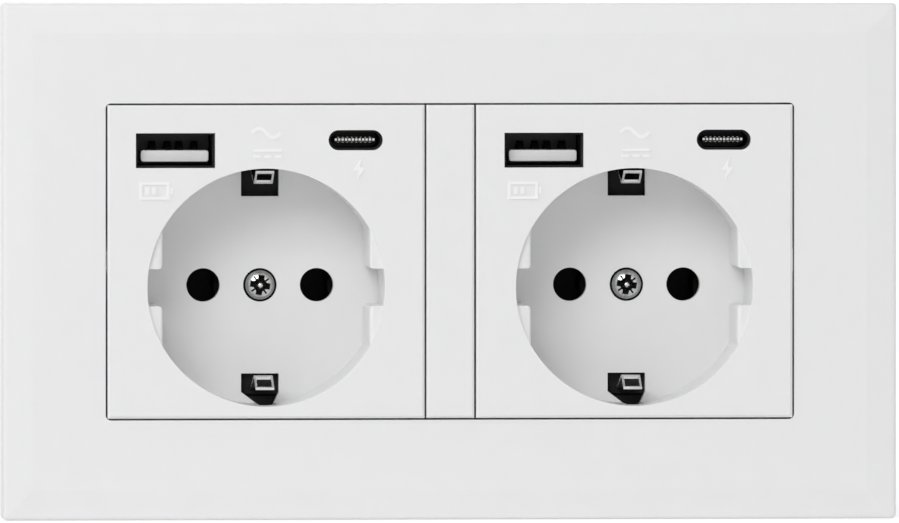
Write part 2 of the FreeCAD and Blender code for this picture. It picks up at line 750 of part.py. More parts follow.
def base_latches(body):
    """Four latches that reach forward through the support plate and catch on its front."""
    front = "(-support_thick - seat_gap)"
    for side in SIDES:
        root, back = f"{side} * {INNER_HALF}", f"{side} * ({INNER_HALF} + latch_thick)"
        for level in LATCH_LEVELS:
            add(body, "z", f"{level} - latch_width / 2", f"{level} + latch_width / 2", [
                (root, "case_wall"),
                (back, "case_wall"),
                (back, front),
                (f"{back} + {side} * latch_nib", front),
                (back, f"{front} - latch_thick"),
                (root, f"{front} - latch_thick"),
            ])


def base_catches(body):
    """The nubs on the sides that the rear case's straps snap over."""
    for side in SIDES:
        add(body, "z", "-catch_width / 2", "catch_width / 2", [
            (f"{side} * (case_width / 2 - case_wall / 2)", "catch_place"),
            (f"{side} * (case_width / 2)", "catch_place"),
            (f"{side} * (case_width / 2 + catch_nub)", "catch_place + catch_nub"),
            (f"{side} * (case_width / 2 + catch_nub)", "catch_place + 2 * catch_nub"),
            (f"{side} * (case_width / 2 - case_wall / 2)", "catch_place + 2 * catch_nub"),
        ])


def base_seats(body):
    """The strap's channel and the passages through the floor."""
    cut(body, "y", BASE_FLOOR, f"{STRAP_REAR} + seat_gap",
        around("0", "spring_middle", "strap_half + slide_gap", "strap_reach + slide_gap"))
    cut(body, "y", STRAP_REAR, f"{STRAP_REAR} + spring_stub + slide_gap",
        *[around("0", f"{out} * spring_root + spring_middle",
                 "spring_width / 2 + slide_gap", "spring_thick + slide_gap") for out in SIDES])
    shank_half, pin_half = "(screw_shank / 2 + slide_gap)", "(pin_hole / 2 + slide_gap)"
    cut(body, "y", BASE_FLOOR, BASE_REAR,
        around("0", "-recess_drop", shank_half, shank_half),
        *[around(f"{side} * pin_spacing / 2", "-recess_drop", pin_half, pin_half) for side in SIDES],
        rectangle("strap_half - slide_gap", "strap_half + leg_thick + slide_gap",
                  "-terminal_drop - terminal_tall - slide_gap", "-terminal_drop + terminal_tall + slide_gap"),
        rectangle("link_place - slide_gap", "link_place + 3 * link_pitch + link_pin + slide_gap",
                  f"{POWER_TOP} - slide_gap", f"{POWER_TOP} + link_pin + slide_gap"))


def contact_cells(body):
    """Low walls behind the floor that hold the front ends of the pin contacts."""
    half = "(clip_half + contact_thick + slide_gap)"
    low, high = "(clip_lip + slide_gap)", "(clip_top + contact_thick + slide_gap)"
    walls = []
    for side in SIDES:
        left, right = f"{side} * pin_spacing / 2 - {half}", f"{side} * pin_spacing / 2 + {half}"
        walls.append(rectangle(f"{left} - cell_wall", f"{right} + cell_wall",
                               f"-recess_drop - {low} - cell_wall", f"-recess_drop + {high} + cell_wall"))
        walls.append(rectangle(left, right, f"-recess_drop - {low}", f"-recess_drop + {high}"))
    add(body, "y", BASE_REAR, f"{BASE_REAR} + cell_height", *walls)


def rear_case(label, across):
    """The rear shell: board rails, terminal partitions, side straps and the openings for wires and driver."""
    body = new_body(label, across)
    half = "(case_width / 2)"
    front = f"({BASE_REAR} + seat_gap)"
    add(body, "y", front, CASE_REAR, rectangle(f"-{half}", half, CASE_BOTTOM, "case_top"))
    bevelled(body, "case_bevel", lambda edge: runs(edge, "y"))
    cut(body, "y", front, CASE_INNER,
        rectangle(f"-{INNER_HALF}", INNER_HALF, f"{CASE_BOTTOM} + case_wall", "case_top - case_wall"))
    board_grooves(body, front)
    terminal_partitions(body)
    case_straps(body)
    cut(body, "y", CASE_INNER, CASE_REAR,
        *[circle(f"{place} * terminal_pitch", "-terminal_drop", "driver_hole / 2") for place in THREE])
    cut(body, "z", CASE_BOTTOM, f"{CASE_BOTTOM} + case_wall",
        *[around(f"{place} * terminal_pitch + {side} * wire_offset", f"{CONTACT_REAR} + wire_hole / 2",
                 "wire_hole / 2", "wire_hole / 2") for place in THREE for side in SIDES])
    return body


def case_straps(body):
    """A strap on each side that reaches forward over the base, with a window for its nub."""
    rear = f"({BASE_REAR} + catch_reach)"
    root, back = "(case_width / 2 + thread_gap)", "(case_width / 2 + thread_gap + catch_thick)"
    add(body, "y", "catch_place - catch_thick - slide_gap", rear,
        *[rectangle(f"{side} * {root}", f"{side} * {back}", "-catch_width", "catch_width") for side in SIDES])
    add(body, "y", f"{BASE_REAR} + seat_gap", rear,
        *[rectangle(f"{side} * (case_width / 2 - case_wall / 2)", f"{side} * {back}",
                    "-catch_width", "catch_width") for side in SIDES])
    open_half = "(catch_width / 2 + slide_gap)"
    cut(body, "y", "catch_place - slide_gap", "catch_place + 2 * catch_nub + seat_gap",
        *[rectangle(f"{side} * {root}", f"{side} * {back}", f"-{open_half}", open_half) for side in SIDES])


def board_grooves(body, front):
    """Two rails on each side wall, with the power board between them."""
    add(body, "y", front, CASE_INNER,
        *[rectangle(f"{side} * ({INNER_HALF} - groove_rib)", f"{side} * ({INNER_HALF} + case_wall / 2)",
                    low, f"{low} + groove_rib")
          for side in SIDES for low in ("power_level - seat_gap - groove_rib", f"{POWER_TOP} + seat_gap")])


def terminal_partitions(body):
    """Walls between the terminals, from the bottom wall up."""
    add(body, "y", f"{PLATE_FRONT} - clamp_half", f"{CASE_INNER} + case_rear / 2",
        *[rectangle(f"{place} * terminal_pitch - partition_thick / 2",
                    f"{place} * terminal_pitch + partition_thick / 2",
                    f"{CASE_BOTTOM} + case_wall / 2", "-partition_top")
          for place in ("-1.5", "-0.5", "0.5", "1.5")])


def usb_a_shell(label, across):
    """A folded steel sleeve, open at both ends."""
    body = new_body(label, across)
    place, level = "-usb_a_place", "usb_a_level"
    add(body, "y", USB_FRONT, USB_REAR, around(place, level, "usb_a_width / 2", "usb_a_height / 2"))
    cut(body, "y", USB_FRONT, USB_REAR,
        around(place, level, "(usb_a_width / 2 - shell_thick)", "(usb_a_height / 2 - shell_thick)"))
    return body


def usb_c_shell(label, across):
    """A drawn steel sleeve with round ends."""
    body = new_body(label, across)
    travel = "(usb_c_width - usb_c_height)"
    add(body, "y", USB_FRONT, USB_REAR,
        slot("usb_c_place", "usb_c_level", travel, "usb_c_height / 2"),
        slot("usb_c_place", "usb_c_level", travel, "(usb_c_height / 2 - shell_thick)"))
    return body


def usb_a_tongue(label, across):
    """The moulded block in the rear of the receptacle, with the tongue that carries its contacts."""
    body = new_body(label, across)
    place = "-usb_a_place"
    add(body, "y", BLOCK_FRONT, USB_REAR,
        around(place, "usb_a_level", "(usb_a_width / 2 - shell_thick - thread_gap)",
               "(usb_a_height / 2 - shell_thick - thread_gap)"))
    add(body, "y", f"{USB_FRONT} + tongue_setback", BLOCK_FRONT,
        rectangle(f"{place} - usb_a_tongue_width / 2", f"{place} + usb_a_tongue_width / 2",
                  "usb_a_level - usb_a_tongue_thick", "usb_a_level"))
    return body


def usb_c_tongue(label, across):
    """The moulded block in the rear of the receptacle, with its thin tongue in the middle."""
    body = new_body(label, across)
    add(body, "y", BLOCK_FRONT, USB_REAR,
        slot("usb_c_place", "usb_c_level", "(usb_c_width - usb_c_height)",
             "(usb_c_height / 2 - shell_thick - thread_gap)"))
    add(body, "y", f"{USB_FRONT} + tongue_setback", BLOCK_FRONT,
        around("usb_c_place", "usb_c_level", "usb_c_tongue_width / 2", "usb_c_tongue_thick / 2"))
    return body


def usb_a_contacts(label, across):
    """Four bowed strips on the tongue."""
    body = new_body(label, across)
    front, crest = f"({USB_FRONT} + 2 * tongue_setback)", f"({BLOCK_FRONT} - 2 * usb_a_rise)"
    line = [(front, "0"), (crest, "usb_a_rise"), (BLOCK_FRONT, "0")]
    lower = [(y, f"usb_a_level + {rise} + thread_gap") for y, rise in line]
    upper = [(y, f"usb_a_level + {rise} + thread_gap + 2 * contact_film") for y, rise in line]
    for step in ("-1.4", "-0.4", "0.4", "1.4"):
        middle = f"-usb_a_place + {step} * usb_a_pitch"
        add(body, "x", f"{middle} - usb_a_contact / 2", f"{middle} + usb_a_contact / 2", lower + upper[::-1])
    return body


def usb_c_contacts(label, across):
    """Two rows of flat strips, above and below the tongue."""
    body = new_body(label, across)
    first = f"usb_c_place - {USB_C_CONTACTS - 1} / 2 * usb_c_pitch"
    pad = add(body, "y", f"{USB_FRONT} + 2 * tongue_setback", BLOCK_FRONT,
              *[rectangle(f"{first} - usb_c_contact / 2", f"{first} + usb_c_contact / 2",
                          f"usb_c_level + {out} * usb_c_tongue_thick / 2",
                          f"usb_c_level + {out} * (usb_c_tongue_thick / 2 + contact_film)") for out in SIDES])
    row = body.newObject("PartDesign::LinearPattern", f"{body.Name}_row")
    row.Originals = [pad]
    row.Direction = (pad.Profile[0], ["H_Axis"])
    row.Occurrences = USB_C_CONTACTS
    row.setExpression("Length", bound(f"{USB_C_CONTACTS - 1} * usb_c_pitch"))
    body.Tip = row
    return body


def usb_board(label, across):
    """The small board behind the receptacles, cut to an arc round the recess."""
    body = new_body(label, across)
    half = f"({INNER_HALF} - board_play)"
    add(body, "y", BOARD_FRONT, BOARD_REAR,
        rectangle(f"-{half}", half, "board_low", "case_top - case_wall - board_play"))
    cut(body, "y", BOARD_FRONT, BOARD_REAR, circle("0", "-recess_drop", f"{CUP_RADIUS} + board_clear"))
    cut(body, "y", BOARD_FRONT, BOARD_REAR, *link_row("thread_gap"))
    return body


def power_board(label, across):
    """The board across the rear case, with a slot for each contact's solder tab."""
    body = new_body(label, across)
    half, open_half = f"({INNER_HALF} - board_play)", "(tab_half + seat_gap)"
    add(body, "z", "power_level", POWER_TOP, rectangle(f"-{half}", half, "power_front", "power_rear"))
    cut(body, "z", "power_level", POWER_TOP,
        *[rectangle(f"{side} * pin_spacing / 2 - {open_half}", f"{side} * pin_spacing / 2 + {open_half}",
                    f"{PLATE_FRONT} - seat_gap", f"{CONTACT_REAR} + seat_gap") for side in SIDES])
    return body


def transformer(label, across):
    """A small ferrite core with its wound bobbin."""
    body = new_body(label, across)
    middle = "(power_front + coil_deep / 2 + board_play)"
    add(body, "z", POWER_TOP, f"{POWER_TOP} + core_tall",
        around("0", middle, "core_width / 2", "core_deep / 2"))
    low = f"({POWER_TOP} + (core_tall - coil_tall) / 2)"
    add(body, "z", low, f"{low} + coil_tall", around("0", middle, "coil_width / 2", "coil_deep / 2"))
    return body


def capacitors(label, across):
    """An upright can and a film block on the power board."""
    body = new_body(label, across)
    add(body, "z", POWER_TOP, f"{POWER_TOP} + can_tall",
        circle("-can_place", "can_rear", "can_radius"),
        around("can_place", "can_rear", "can_radius", "can_radius / 2"))
    return body


def link_pins(label, across):
    """Four square pins that join the two boards."""
    body = new_body(label, across)
    add(body, "y", f"{BOARD_FRONT} - link_pin", "power_front + 3 * link_pin", *link_row("0"))
    return body


def link_row(gap):
    """The outlines of the four pins, each wider by the gap all round."""
    lefts = [f"link_place + {i} * link_pitch" for i in range(LINK_PINS)]
    return [rectangle(f"{left} - {gap}", f"{left} + link_pin + {gap}",
                      f"{POWER_TOP} - {gap}", f"{POWER_TOP} + link_pin + {gap}") for left in lefts]


def twin(body, label):
    """A second piece like the first, one module further right."""
    copy = doc.addObject("PartDesign::Body", label)
    copy.Label = label
    feature = copy.newObject("PartDesign::FeatureBase", f"{label}_shape")
    feature.BaseFeature = body
    feature.Placement = body.Placement
    for path, text in body.ExpressionEngine:
        further = f" + {bound(PITCH)}" if path.endswith("x") else ""
        feature.setExpression(path.lstrip("."), text + further)
    copy.Tip = feature
    return copy


def module(name):
    """All the pieces of the left outlet."""
    across = f"-{PITCH} / 2"
    pieces = [
        cover_plate(f"{name}_cover_plate", across),
        centre_screw(f"{name}_centre_screw", across),
        earth_strap(f"{name}_earth_strap", across),
        earth_spring(f"{name}_earth_spring_top", across, "1"),
        earth_spring(f"{name}_earth_spring_bottom", across, "-1"),
        base(f"{name}_base", across),
        rear_case(f"{name}_rear_case", across),
        pin_contact(f"{name}_neutral_contact", across, "-1"),
        pin_contact(f"{name}_line_contact", across, "1"),
        usb_a_shell(f"{name}_usb_a_shell", across),
        usb_a_tongue(f"{name}_usb_a_tongue", across),
        usb_a_contacts(f"{name}_usb_a_contacts", across),
        usb_c_shell(f"{name}_usb_c_shell", across),
        usb_c_tongue(f"{name}_usb_c_tongue", across),
        usb_c_contacts(f"{name}_usb_c_contacts", across),
        usb_board(f"{name}_usb_board", across),
        power_board(f"{name}_power_board", across),
        transformer(f"{name}_transformer", across),
        capacitors(f"{name}_capacitors", across),
        link_pins(f"{name}_link_pins", across),
    ]
    for terminal, side in (("neutral", "-1"), ("earth", "0"), ("line", "1")):
        pieces.append(terminal_clamp(f"{name}_{terminal}_clamp", across, side))
        pieces.append(terminal_screw(f"{name}_{terminal}_screw", across, side))
    return pieces


def export(bodies):
    """Write each finished body to its own file, once everything in the document is sound."""
    doc.recompute()
    failed = [item.Label for item in doc.Objects if {"Invalid", "Error"} & set(item.State)]
    failed += [body.Label for body in bodies if body.Shape.isNull() or not body.Shape.isValid()]
    if failed:
        raise RuntimeError(f"failed: {', '.join(failed)}")
    os.makedirs("parts", exist_ok=True)
    for body in bodies:
        body.Shape.exportStep(f"parts/{body.Label}.step")
        print(body.Label, len(body.Shape.Solids), round(body.Shape.Volume, 2))


left_outlet = module("left")
right_outlet = [twin(body, body.Label.replace("left", "right")) for body in left_outlet]
export([decorative_frame(), centre_strip(), support_plate(), *left_outlet, *right_outlet])
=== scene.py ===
import json
import math

import bmesh
import bpy
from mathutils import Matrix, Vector


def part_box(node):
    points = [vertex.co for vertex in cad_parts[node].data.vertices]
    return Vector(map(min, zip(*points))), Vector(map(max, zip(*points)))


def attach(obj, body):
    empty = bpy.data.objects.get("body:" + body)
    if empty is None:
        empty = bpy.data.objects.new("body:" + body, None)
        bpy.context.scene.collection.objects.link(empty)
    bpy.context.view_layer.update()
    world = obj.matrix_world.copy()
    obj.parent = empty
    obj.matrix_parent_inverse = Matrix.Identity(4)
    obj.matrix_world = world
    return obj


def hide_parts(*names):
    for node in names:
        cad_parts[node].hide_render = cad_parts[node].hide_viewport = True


MM = 0.001

# Lengths are in mm and angles in degrees, unless a line says otherwise. Y grows into the wall.
MODULES = {"left": -30.7, "right": 30.7}
FACE, RECESS_Z, RECESS_FLOOR = -8.9, -4.3, 8.6
CASE_REAR = 33.2
FLOOR_Z = -43.0
CUT_LEAD = 0.4

# Centre screw: levels along Y, the head, the cross recess in it, and how its faces are told apart into
# painted shade (outer rim, cross walls) and painted highlight (middle of the dome); then the pip, a painted
# highlight, and the black ring of painted shade around the head.
SCREW_TOP, SCREW_SEAT, SCREW_END = 7.4, 9.4, 15.8
HEAD_RADIUS, SHANK_RADIUS, DOME_DEPTH = 2.5, 1.75, 1.3
CROSS_SPAN, CROSS_WIDTH, CROSS_DEPTH, CROSS_TURN = 3.9, 1.2, 1.4, 9
HUB_SIZE, HUB_DEPTH, HUB_TURN = 2.5, 1.2, 54
TICK_LENGTH, TICK_WIDTH, TICK_LEAD, TICK_DEPTH = 3.8, 0.3, 0.2, 0.4
CROSS_TAPER = 0.66
RIM_REACH, CUT_REACH, HIGHLIGHT_REACH, CUT_FLOOR, SKIN = 2.42, 2.2, 2.0, 1.5, 0.06
PAINTED_SHADE_FACE, PAINTED_HIGHLIGHT_FACE = 1, 2
PIP_RADIUS, PIP_FOOT, PIP_OFFSET = 0.8, 1.45, (0.08, -0.1)
SHADE_RING_RADIUS, SHADE_RING_FRONT, SHADE_RING_BACK = 2.79, SCREW_SEAT - 0.65, SCREW_SEAT - 0.05

# Terminal screws: places, levels along Y, the thread, and the slot and cross in the head.
TERMINALS = {"neutral": -11.0, "earth": 0.0, "line": 11.0}
TERMINAL_Z = -18.0
TERMINAL_TIP, TERMINAL_SEAT, TERMINAL_TOP = 21.65, 27.65, 29.85
TIP_RADIUS, NECK_RADIUS, TERMINAL_RADIUS = 1.3, 1.5, 3.23
THREAD_ROOT, THREAD_CREST, THREAD_STEP = 1.55, 1.75, 0.3
THREAD_END = TERMINAL_SEAT - 0.9
SLOT_LENGTH, SLOT_WIDTH, SLOT_DEPTH = 7.2, 0.9, 1.0
DRIVE_SPAN, DRIVE_WIDTH, DRIVE_DEPTH, DRIVE_TAPER, DRIVE_TURN = 3.4, 1.0, 1.3, 0.75, 25

# Earth springs: distances from their middle at root, crest and tip, the strip's gauge there, its window.
SPRING_MIDDLE = RECESS_Z + 1.1
SPRING_ROOT, SPRING_CREST, SPRING_TIP = 17.9, 15.85, 17.87
ROOT_GAUGE, CREST_GAUGE, TIP_GAUGE = 0.6, 0.42, 0.38
SPRING_CREST_LEVEL, SPRING_BEND = -0.5, 0.9
# Behind this level the springs' outward faces get painted shade.
SHANK_SHADE_START = SPRING_CREST_LEVEL + 0.9
WINDOW_TIP, WINDOW_CREST, WINDOW_LEG, WINDOW_REACH = 0.36, 0.85, 0.32, 40

# USB receptacles.
USB_BLOCK_FRONT = 1.5
USB_A_PLACE, USB_A_TONGUE_TOP = 15.1, 18.5
TONGUE_HALF_WIDTH, TONGUE_HEIGHT, TONGUE_CORNER, BLOCK_CORNER = 5.65, 1.9, 0.42, 0.2
USB_C_PLACE, USB_C_LEVEL, USB_C_TONGUE_FRONT = 14.9, 20.2, -6.1
# The type C teeth stand for the contacts' front ends, drawn larger and bright as a painted highlight.
TEETH, TOOTH_SIZE, TOOTH_PITCH, TEETH_REACH = 12, 0.36, 0.57, 3.14

# Raised marks.
MARK_RISE, MARK_SINK = 0.2, 0.05
WAVE_WIDTH, WAVE_HEIGHT, WAVE_STROKE, WAVE_STEPS = 4.8, 0.75, 0.55, 24

# Bevels: width by the end of a CAD node's name, and the angles above which an edge counts.
SOFTENED = {
    "cover_plate": 0.25, "decorative_frame": 0.08, "centre_strip": 0.16, "base": 0.2, "rear_case": 0.2,
    "usb_a_shell": 0.06,
}
FLAT_ANGLE, SPLIT_ANGLE, MOULDED_ANGLE, MADE_ANGLE = 0.5, 34, 40, 50

# Grain: how the slow colour drift relates to the fine noise.
GRAIN_DETAIL, DRIFT_SLOWER, DRIFT_LOW, DRIFT_HIGH = 4.0, 12, 0.3, 0.7

# Light: strengths, and how much of the floor's own glow each kind of ray sees; lamps in metres and watts.
WHITE = (1, 1, 1, 1)
AMBIENT, FLOOR_GLOW, GLOW_SHARE, CAMERA_SHARE = 0.3, 1.06, 0.25, 0.55
FLOOR_REACH = 0.9
LAMPS = {
    "key": ((-0.5, -1.2, 0.72), (0.8, 0.6), 9.0),
    "fill": ((1.2, -0.35, 0.25), (0.6, 0.4), 2.0),
    "edge": ((-0.85, -0.25, 0.9), (0.5, 0.3), 3.6),
    "back": ((0.4, 1.2, 0.7), (0.8, 0.6), 5.0),
}

# Camera: distance in metres, and the scale at the face.
CAMERA_YAW, CAMERA_RISE, CAMERA_AWAY = math.radians(4.0), math.radians(1.5), 3.8
PIXELS_PER_MM, IMAGE_WIDTH, SENSOR_WIDTH = 6.012, 899, 36.0
AIM_ACROSS = -0.17

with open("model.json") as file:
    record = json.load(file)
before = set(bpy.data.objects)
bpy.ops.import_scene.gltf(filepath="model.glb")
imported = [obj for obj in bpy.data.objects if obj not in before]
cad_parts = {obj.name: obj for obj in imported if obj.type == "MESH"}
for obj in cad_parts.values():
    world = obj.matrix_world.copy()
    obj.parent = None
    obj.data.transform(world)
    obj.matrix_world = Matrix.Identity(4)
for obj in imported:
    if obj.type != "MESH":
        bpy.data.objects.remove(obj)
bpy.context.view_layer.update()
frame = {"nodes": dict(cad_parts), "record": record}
nodes = frame["nodes"]


def grained(name, color, roughness, scale, depth, tint, polish=None, metallic=0.0, specular=0.5,
            stretch=(1, 1, 1)):
    """A principled material with fine bump, a colour drift and, if asked, a roughness drift."""
    material = bpy.data.materials.new(name)
    material.use_nodes = True
    tree = material.node_tree
    shader = tree.nodes["Principled BSDF"]
    shader.inputs["Base Color"].default_value = (*color, 1.0)
    shader.inputs["Roughness"].default_value = roughness
    shader.inputs["Metallic"].default_value = metallic
    shader.inputs["Specular IOR Level"].default_value = specular
    place = tree.nodes.new("ShaderNodeTexCoord")
    mapping = tree.nodes.new("ShaderNodeMapping")
    mapping.inputs["Scale"].default_value = stretch
    noise = tree.nodes.new("ShaderNodeTexNoise")
    noise.inputs["Scale"].default_value = scale
    noise.inputs["Detail"].default_value = GRAIN_DETAIL
    bump = tree.nodes.new("ShaderNodeBump")
    bump.inputs["Distance"].default_value = depth
    bump.inputs["Strength"].default_value = 1.0
    slow = tree.nodes.new("ShaderNodeTexNoise")
    slow.inputs["Scale"].default_value = scale / DRIFT_SLOWER
    ramp = tree.nodes.new("ShaderNodeValToRGB")
    for element, position, shade in zip(ramp.color_ramp.elements, (DRIFT_LOW, DRIFT_HIGH), tint):
        element.position = position
        element.color = (*shade, 1)
    tree.links.new(place.outputs["Object"], mapping.inputs["Vector"])
    tree.links.new(mapping.outputs["Vector"], noise.inputs["Vector"])
    tree.links.new(noise.outputs["Fac"], bump.inputs["Height"])
    tree.links.new(bump.outputs["Normal"], shader.inputs["Normal"])
    tree.links.new(mapping.outputs["Vector"], slow.inputs["Vector"])
    tree.links.new(slow.outputs["Fac"], ramp.inputs["Fac"])
    tree.links.new(ramp.outputs["Color"], shader.inputs["Base Color"])
    if polish:
        drift = tree.nodes.new("ShaderNodeMapRange")
        drift.inputs["To Min"].default_value = polish[0]
        drift.inputs["To Max"].default_value = polish[1]
        tree.links.new(noise.outputs["Fac"], drift.inputs["Value"])
        tree.links.new(drift.outputs["Result"], shader.inputs["Roughness"])
    return material


def greys(low, high):
    """Two nearly equal greys for a colour drift."""
    return (low, low, low * 1.004), (high, high, high * 1.004)


def painted_shade_behind(material, level):
    """Make the material black behind the given level along Y, as painted shade."""
    tree = material.node_tree
    shader = tree.nodes["Principled BSDF"]
    source = shader.inputs["Base Color"].links[0].from_socket
    place = tree.nodes.new("ShaderNodeNewGeometry")
    parts = tree.nodes.new("ShaderNodeSeparateXYZ")
    behind = tree.nodes.new("ShaderNodeMath")
    behind.operation = "GREATER_THAN"
    behind.inputs[1].default_value = level * MM
    mix = tree.nodes.new("ShaderNodeMix")
    mix.data_type = "RGBA"
    mix.inputs[7].default_value = (0.012, 0.012, 0.013, 1)
    tree.links.new(place.outputs["Position"], parts.inputs["Vector"])
    tree.links.new(parts.outputs["Y"], behind.inputs[0])
    tree.links.new(behind.outputs[0], mix.inputs[0])
    tree.links.new(source, mix.inputs[6])
    tree.links.new(mix.outputs[2], shader.inputs["Base Color"])


frame_plastic = grained("frame_plastic", (0.84, 0.84, 0.845), 0.32, 2600, 3e-6,
                        tint=greys(0.835, 0.845), polish=(0.29, 0.36))
face_plastic = grained("face_plastic", (0.84, 0.84, 0.845), 0.3, 2600, 3e-6,
                       tint=greys(0.835, 0.845), polish=(0.27, 0.34))
mark_plastic = grained("mark_plastic", (0.93, 0.93, 0.935), 0.35, 2600, 2e-6,
                       tint=greys(0.925, 0.935), polish=(0.3, 0.4))
body_plastic = grained("body_plastic", (0.012, 0.012, 0.013), 0.7, 1400, 1.2e-5,
                       tint=greys(0.009, 0.015), polish=(0.6, 0.78), specular=0.15)
case_plastic = grained("case_plastic", (0.035, 0.035, 0.037), 0.5, 1400, 1.2e-5,
                       tint=greys(0.03, 0.042), polish=(0.42, 0.58), specular=0.4)
case_print = grained("case_print", (0.09, 0.09, 0.093), 0.55, 1400, 1.2e-5,
                     tint=greys(0.08, 0.1), polish=(0.48, 0.62))
zinc_steel = grained("zinc_steel", (0.5, 0.51, 0.53), 0.34, 900, 4e-6,
                     tint=((0.47, 0.48, 0.5), (0.54, 0.545, 0.56)), polish=(0.28, 0.4), metallic=1.0)
screw_steel = grained("screw_steel", (0.42, 0.425, 0.43), 0.34, 1600, 5e-6,
                      tint=((0.34, 0.345, 0.35), (0.5, 0.505, 0.51)), polish=(0.28, 0.42), metallic=1.0)
# Black for painted shade: the centre screw's rim and cross walls, and the ring around its head.
painted_shade_black = grained("painted_shade_black", (0.01, 0.01, 0.011), 0.85, 1600, 5e-6,
                      tint=greys(0.007, 0.014), polish=(0.8, 0.9), specular=0.08)
# Near black: painted shade on the type A contacts deep in the port.
contact_shade_black = grained("contact_shade_black", (0.008, 0.008, 0.009), 0.8, 1600, 3e-6,
                     tint=greys(0.006, 0.011), polish=(0.72, 0.86), specular=0.08)
# Also serves as a lighter copy of the steel: painted highlight on the centre screw's middle and pip, and on
# the type C contacts' ends.
bright_steel = grained("bright_steel", (0.6, 0.6, 0.59), 0.26, 1500, 2e-6,
                       tint=((0.54, 0.54, 0.53), (0.68, 0.68, 0.67)), polish=(0.2, 0.34),
                       metallic=1.0, stretch=(1, 0.08, 1))
# Near black: painted shade for steel deep in the ports and slots, such as the USB shells and the earth
# springs' outward faces behind the crest.
dark_steel = grained("dark_steel", (0.02, 0.02, 0.02), 0.7, 1200, 3e-6,
                     tint=greys(0.015, 0.025), polish=(0.62, 0.78), metallic=0.3, specular=0.15)
# Nearly black: painted shade, for contacts that sit deep behind the pin holes and in the ports.
bronze = grained("bronze", (0.018, 0.014, 0.01), 0.75, 1200, 3e-6,
                 tint=((0.014, 0.011, 0.008), (0.022, 0.017, 0.012)), polish=(0.62, 0.78),
                 metallic=0.4, specular=0.15, stretch=(1, 1, 0.1))
white_insulator = grained("white_insulator", (0.8, 0.8, 0.79), 0.45, 3000, 3e-6,
                          tint=greys(0.79, 0.82), polish=(0.4, 0.5))
# The insulator turns black behind the block's front: painted shade on the port's rear wall.
painted_shade_behind(white_insulator, USB_BLOCK_FRONT - 0.01)
dark_insulator = grained("dark_insulator", (0.015, 0.015, 0.016), 0.45, 3000, 3e-6,
                         tint=greys(0.012, 0.02), polish=(0.4, 0.5))
board_green = grained("board_green", (0.02, 0.11, 0.045), 0.35, 700, 6e-6,
                      tint=((0.015, 0.09, 0.035), (0.03, 0.14, 0.06)), polish=(0.3, 0.45))
core_black = grained("core_black", (0.03, 0.03, 0.032), 0.6, 1500, 1e-5,
                     tint=greys(0.024, 0.04), polish=(0.5, 0.7))
can_sleeve = grained("can_sleeve", (0.045, 0.05, 0.075), 0.3, 900, 3e-6,
                     tint=((0.04, 0.045, 0.07), (0.055, 0.06, 0.09)), polish=(0.26, 0.36))

SLOT_MATERIALS = {
    "frame_plastic": frame_plastic, "face_plastic": face_plastic, "body_plastic": body_plastic,
    "zinc_steel": zinc_steel, "bright_steel": bright_steel, "dark_steel": dark_steel, "bronze": bronze,
    "white_insulator": white_insulator, "dark_insulator": dark_insulator, "board": board_green,
    "core": core_black, "can": can_sleeve,
}
# USB shells and type A contacts in near black as painted shade.
NODE_MATERIALS = {"_shell": dark_steel, "usb_a_contacts": contact_shade_black, "rear_case": case_plastic}

for part in frame["record"]["subparts"]:
    piece = nodes[part["node"]]
    piece.data.materials.clear()
    own = [material for ending, material in NODE_MATERIALS.items() if part["node"].endswith(ending)]
    piece.data.materials.append(own[0] if own else SLOT_MATERIALS[part["material_slot"]])


def bevelled(piece, width, segments, angle):
    """Round the piece's edges where its faces meet at more than the angle."""
    bevel = piece.modifiers.new("bevel", "BEVEL")
    bevel.width = width * MM
    bevel.segments = segments
    bevel.limit_method = "ANGLE"
    bevel.angle_limit = math.radians(angle)


def soften(piece, width):
    """Small moulded radii on a CAD node's edges."""
    weld = piece.modifiers.new("weld", "WELD")
    weld.merge_threshold = 1e-6
    plain = piece.modifiers.new("plain", "DECIMATE")
    plain.decimate_type = "DISSOLVE"
    plain.angle_limit = math.radians(FLAT_ANGLE)
    bevelled(piece, width, 3, MOULDED_ANGLE)
    split = piece.modifiers.new("split", "EDGE_SPLIT")
    split.split_angle = math.radians(SPLIT_ANGLE)
    even = piece.modifiers.new("even", "WEIGHTED_NORMAL")
    even.keep_sharp = True


for name in nodes:
    for ending, width in SOFTENED.items():
        if name.endswith(ending):
            soften(nodes[name], width)


def made(name, mesh, material, body):
    """Link a finished mesh as a piece of the object."""
    piece = bpy.data.objects.new(name, mesh)
    bpy.context.scene.collection.objects.link(piece)
    mesh.materials.clear()
    mesh.materials.append(material)
    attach(piece, body)
    return piece


def closed(shape, name):
    """The bmesh as a mesh with its normals outwards."""
    mesh = bpy.data.meshes.new(name)
    bmesh.ops.recalc_face_normals(shape, faces=shape.faces)
    shape.to_mesh(mesh)
    shape.free()
    return mesh


def between(first, last, name):
    """A closed mesh between two outlines, given as points in X, Y and Z."""
    shape = bmesh.new()
    first = [shape.verts.new([number * MM for number in point]) for point in first]
    last = [shape.verts.new([number * MM for number in point]) for point in last]
    for i in range(len(first)):
        j = (i + 1) % len(first)
        shape.faces.new((first[i], first[j], last[j], last[i]))
    shape.faces.new(first[::-1])
    shape.faces.new(last)
    return closed(shape, name)


def prism(outline, near, far, taper=1.0, middle=(0.0, 0.0)):
    """A closed mesh: the outline in X and Z at y near, scaled by taper about the middle at y far."""
    return between([(x, near, z) for x, z in outline],
                   [(middle[0] + (x - middle[0]) * taper, far, middle[1] + (z - middle[1]) * taper)
                    for x, z in outline], "prism")


def crosswise(outline, low, high):
    """A closed mesh: the outline in Y and Z, carried along X from low to high."""
    return between([(low, y, z) for y, z in outline], [(high, y, z) for y, z in outline], "crosswise")


